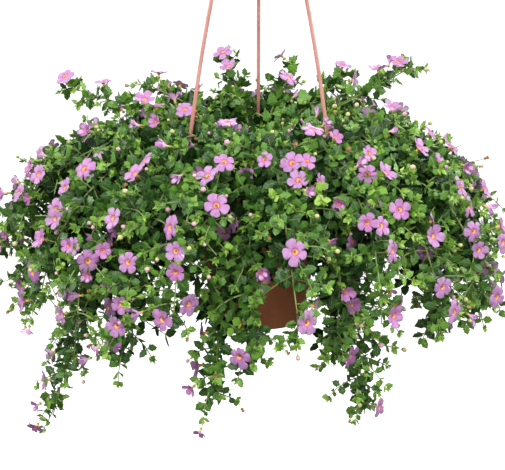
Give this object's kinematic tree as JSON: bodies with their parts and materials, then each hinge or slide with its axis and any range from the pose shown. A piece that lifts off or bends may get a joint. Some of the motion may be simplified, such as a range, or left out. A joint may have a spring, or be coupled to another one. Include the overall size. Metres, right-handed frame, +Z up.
{
  "type": "potted bacopa in a hanging pot",
  "caption": "Trailing bedding plant with toothed leaves and five-petalled lilac-pink blooms, in a tapered plastic pot that hangs from a three-armed hook hanger.",
  "frame": {"origin": "the point at the top of the hook's inside, where it bears on what it hangs from", "axes": "+Z up along the pot's axis, -Y towards the front between two of the three arms, +X to the right"},
  "size_m": [0.6269, 0.5718, 0.7539],
  "materials": {
    "hanger_plastic": "moulded terracotta-pink plastic, satin",
    "pot_plastic": "moulded terracotta-coloured plastic, satin",
    "soil": "damp crumbly potting soil",
    "plant": "living leaves, stems and petals, soft sheen"
  },
  "bodies": {
    "root": {"crown_stem_01": "plant", "crown_stem_02": "plant", "crown_stem_03": "plant", "crown_stem_04": "plant", "crown_stem_05": "plant", "crown_stem_06": "plant", "crown_stem_07": "plant", "crown_stem_08": "plant", "crown_stem_09": "plant", "crown_stem_10": "plant", "hanger": "hanger_plastic", "hanging_stem_01": "plant", "hanging_stem_02": "plant", "hanging_stem_03": "plant", "hanging_stem_04": "plant", "hanging_stem_05": "plant", "hanging_stem_06": "plant", "hanging_stem_07": "plant", "hanging_stem_08": "plant", "hanging_stem_09": "plant", "hanging_stem_10": "plant", "hanging_stem_11": "plant", "hanging_stem_12": "plant", "hanging_stem_13": "plant", "hanging_stem_14": "plant", "hanging_stem_15": "plant", "hanging_stem_16": "plant", "hanging_stem_17": "plant", "pot": "pot_plastic", "shoulder_stem_01": "plant", "shoulder_stem_02": "plant", "shoulder_stem_03": "plant", "shoulder_stem_04": "plant", "shoulder_stem_05": "plant", "shoulder_stem_06": "plant", "shoulder_stem_07": "plant", "shoulder_stem_08": "plant", "shoulder_stem_09": "plant", "shoulder_stem_10": "plant", "shoulder_stem_11": "plant", "shoulder_stem_12": "plant", "shoulder_stem_13": "plant", "shoulder_stem_14": "plant", "soil": "soil", "trailing_stem_01": "plant", "trailing_stem_02": "plant", "trailing_stem_03": "plant", "trailing_stem_04": "plant", "trailing_stem_05": "plant", "trailing_stem_06": "plant", "trailing_stem_07": "plant", "trailing_stem_08": "plant", "trailing_stem_09": "plant", "trailing_stem_10": "plant", "trailing_stem_11": "plant", "trailing_stem_12": "plant", "trailing_stem_13": "plant", "trailing_stem_14": "plant", "trailing_stem_15": "plant", "trailing_stem_16": "plant"}
  },
  "joints": []
}
